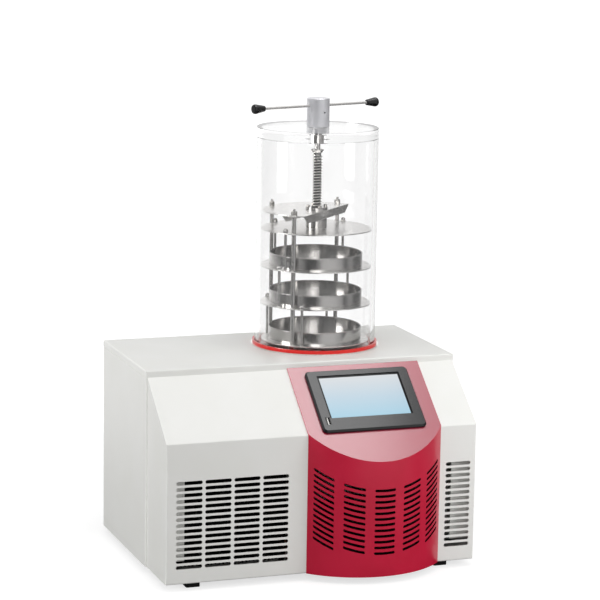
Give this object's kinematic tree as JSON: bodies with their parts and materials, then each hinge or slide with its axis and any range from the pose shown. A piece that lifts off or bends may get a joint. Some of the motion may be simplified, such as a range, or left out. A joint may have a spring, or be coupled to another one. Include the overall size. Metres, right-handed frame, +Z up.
{
  "type": "freeze dryer",
  "caption": "Bench-top freeze dryer: sheet metal cabinet with sloping touch panel and bowed crimson fascia, under a clear drying chamber with trays on a stoppering rack.",
  "frame": {"origin": "floor level under the middle of the whole object's box, feet at Z = 0", "axes": "+Z up, front with the touch panel towards -Y, +X to the user's right"},
  "size_m": [0.6, 0.516, 0.8473],
  "materials": {
    "cabinet_enamel": "powder coated, fine satin",
    "zinc_steel": "powder coated, satin",
    "crimson_enamel": "gloss stoving enamel",
    "black_rubber": "matt",
    "bezel_plastic": "fine grain",
    "display_glass": "glossy touch panel",
    "nickel_steel": "plated",
    "stainless_steel": "satin",
    "polished_steel": "polished",
    "steel_rod": "ground",
    "screw_steel": "rolled thread",
    "copper_tube": "drawn copper",
    "black_foam": "closed cell foam",
    "red_silicone": "smooth",
    "black_enamel": "satin",
    "condenser_fin": "dull",
    "motor_steel": "zinc plated",
    "black_plastic": "moulded",
    "grey_enamel": "satin",
    "brass_nickel": "nickel plated brass",
    "lever_red": "vinyl sleeve",
    "clear_acrylic": "polished",
    "turned_aluminium": "fine turned"
  },
  "bodies": {
    "cabinet": {"chassis": "zinc_steel", "front_cover": "cabinet_enamel", "fascia": "crimson_enamel", "side_panel_left": "cabinet_enamel", "side_panel_right": "cabinet_enamel", "back_panel": "cabinet_enamel", "top_lid": "cabinet_enamel", "feet": "black_rubber", "display_bezel": "bezel_plastic", "display_glass": "display_glass", "display_housing": "bezel_plastic", "usb_socket": "nickel_steel", "trap_well": "stainless_steel", "trap_coil": "copper_tube", "trap_foam": "black_foam", "chamber_gasket": "red_silicone", "compressor": "black_enamel", "compressor_grommets": "black_rubber", "condenser": "condenser_fin", "fan_shroud": "black_enamel", "fan_motor": "motor_steel", "filter_drier": "copper_tube", "pipework": "copper_tube", "control_box": "grey_enamel", "drain_valve": "brass_nickel", "vent_valve": "brass_nickel", "power_inlet": "black_plastic", "power_switch": "black_plastic", "pump_outlet": "black_plastic", "vacuum_port": "stainless_steel", "chamber_tube": "clear_acrylic", "chamber_top": "clear_acrylic", "shaft_bush": "steel_rod", "screw_nut": "steel_rod", "nut_screws": "nickel_steel", "bridge": "stainless_steel", "guide_posts": "steel_rod", "post_nuts": "nickel_steel", "base_shelf": "stainless_steel", "rack_feet": "steel_rod", "lower_hangers": "steel_rod", "lower_tray": "polished_steel"},
    "handle": {"handle_hub": "turned_aluminium", "handle_bar": "steel_rod", "handle_knobs": "black_plastic", "drive_shaft": "steel_rod"},
    "screw": {"press_screw": "screw_steel", "guide_cup": "steel_rod"},
    "top_stack": {"top_shelf": "stainless_steel", "press_foot": "steel_rod"},
    "middle_stack": {"middle_shelf": "stainless_steel", "upper_hangers": "steel_rod", "upper_tray": "polished_steel"},
    "lower_stack": {"lower_shelf": "stainless_steel", "middle_hangers": "steel_rod", "middle_tray": "polished_steel"},
    "fan": {"fan_rotor": "black_plastic"},
    "drain_lever": {"drain_lever": "lever_red"},
    "vent_knob": {"vent_knob": "black_plastic"},
    "power_rocker": {"power_rocker": "black_plastic"}
  },
  "joints": [
    {"name": "handle_turn", "type": "hinge", "parent": "cabinet", "child": "handle", "pos_m": [0.08, 0.084, 0.8], "axis": [0, 0, -1], "range_deg": [0, 7200]},
    {"name": "top_shelf_press", "type": "slide", "parent": "cabinet", "child": "top_stack", "axis": [0, 0, -1], "range_m": [0, 0.0801]},
    {"name": "middle_shelf_press", "type": "slide", "parent": "cabinet", "child": "middle_stack", "axis": [0, 0, -1], "range_m": [0, 0.0534]},
    {"name": "lower_shelf_press", "type": "slide", "parent": "cabinet", "child": "lower_stack", "axis": [0, 0, -1], "range_m": [0, 0.0267]},
    {"name": "screw_turn", "type": "hinge", "parent": "top_stack", "child": "screw", "pos_m": [0.08, 0.084, 0.68], "axis": [0, 0, -1], "range_deg": [0, 7201]},
    {"name": "fan_spin", "type": "hinge", "parent": "cabinet", "child": "fan", "pos_m": [-0.173, -0.13, 0.124], "axis": [0, 1, 0], "continuous": true},
    {"name": "drain_lever_turn", "type": "hinge", "parent": "cabinet", "child": "drain_lever", "pos_m": [0.08, 0.234, 0.087], "axis": [0, 0, 1], "range_deg": [0, 90]},
    {"name": "vent_knob_turn", "type": "hinge", "parent": "cabinet", "child": "vent_knob", "pos_m": [0.155, 0.23, 0.335], "axis": [0, 1, 0], "range_deg": [0, 1080]},
    {"name": "power_rocker_tilt", "type": "hinge", "parent": "cabinet", "child": "power_rocker", "pos_m": [0.25, 0.22, 0.113], "axis": [1, 0, 0], "range_deg": [-18, 0]}
  ],
  "couplings": [
    {"joint": "top_shelf_press", "follows": "handle_turn", "m_per_rad": 0.00063662},
    {"joint": "middle_shelf_press", "follows": "handle_turn", "m_per_rad": 0.00042441},
    {"joint": "lower_shelf_press", "follows": "handle_turn", "m_per_rad": 0.00021221},
    {"joint": "screw_turn", "follows": "handle_turn", "ratio": 1}
  ]
}
